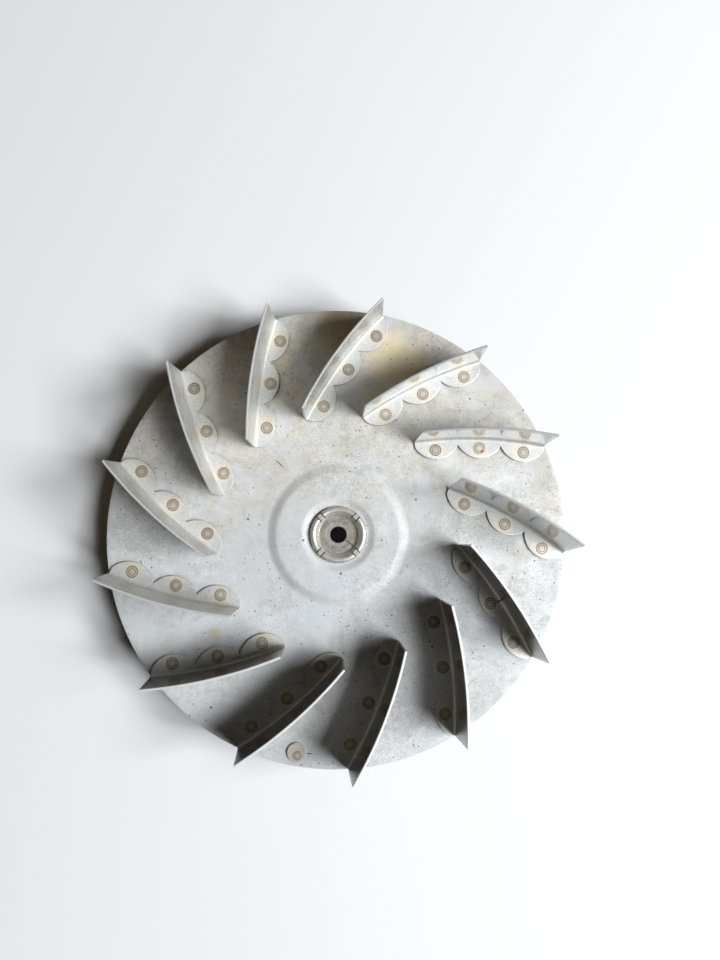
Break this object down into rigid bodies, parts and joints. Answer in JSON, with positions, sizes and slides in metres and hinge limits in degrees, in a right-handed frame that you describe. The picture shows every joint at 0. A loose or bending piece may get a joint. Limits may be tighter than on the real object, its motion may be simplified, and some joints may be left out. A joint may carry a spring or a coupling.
{
  "type": "combustion fan wheel",
  "caption": "Open centrifugal fan wheel of stainless sheet: backward-curved blades welded to a disc on a turned hub with a plain shaft bore.",
  "frame": {"origin": "on the wheel's axis at the hub's rear end, the lowest plane of the wheel", "axes": "+Z along the shaft bore, out of the blade side towards the inlet; the grub screw points along -Y"},
  "size_m": [0.225, 0.225, 0.0526],
  "materials": {
    "stainless_sheet": "mill-finished stainless sheet, lightly stained",
    "stainless_blade": "semi-gloss stainless sheet with heat-tinted weld marks",
    "turned_steel": "turned, matt face and bright rolled collar",
    "weight_steel": "punched disc, heat-tinted",
    "screw_steel": "black oxide"
  },
  "bodies": {
    "wheel": {"backplate": "stainless_sheet", "blade_01": "stainless_blade", "blade_02": "stainless_blade", "blade_03": "stainless_blade", "blade_04": "stainless_blade", "blade_05": "stainless_blade", "blade_06": "stainless_blade", "blade_07": "stainless_blade", "blade_08": "stainless_blade", "blade_09": "stainless_blade", "blade_10": "stainless_blade", "blade_11": "stainless_blade", "blade_12": "stainless_blade", "blade_13": "stainless_blade", "hub": "turned_steel", "balance_weight": "weight_steel"},
    "grub_screw": {"grub_screw": "screw_steel"}
  },
  "joints": [
    {"name": "grub_screw_travel", "type": "slide", "parent": "wheel", "child": "grub_screw", "axis": [0, -1, 0], "range_m": [-0.001, 0.004]}
  ]
}
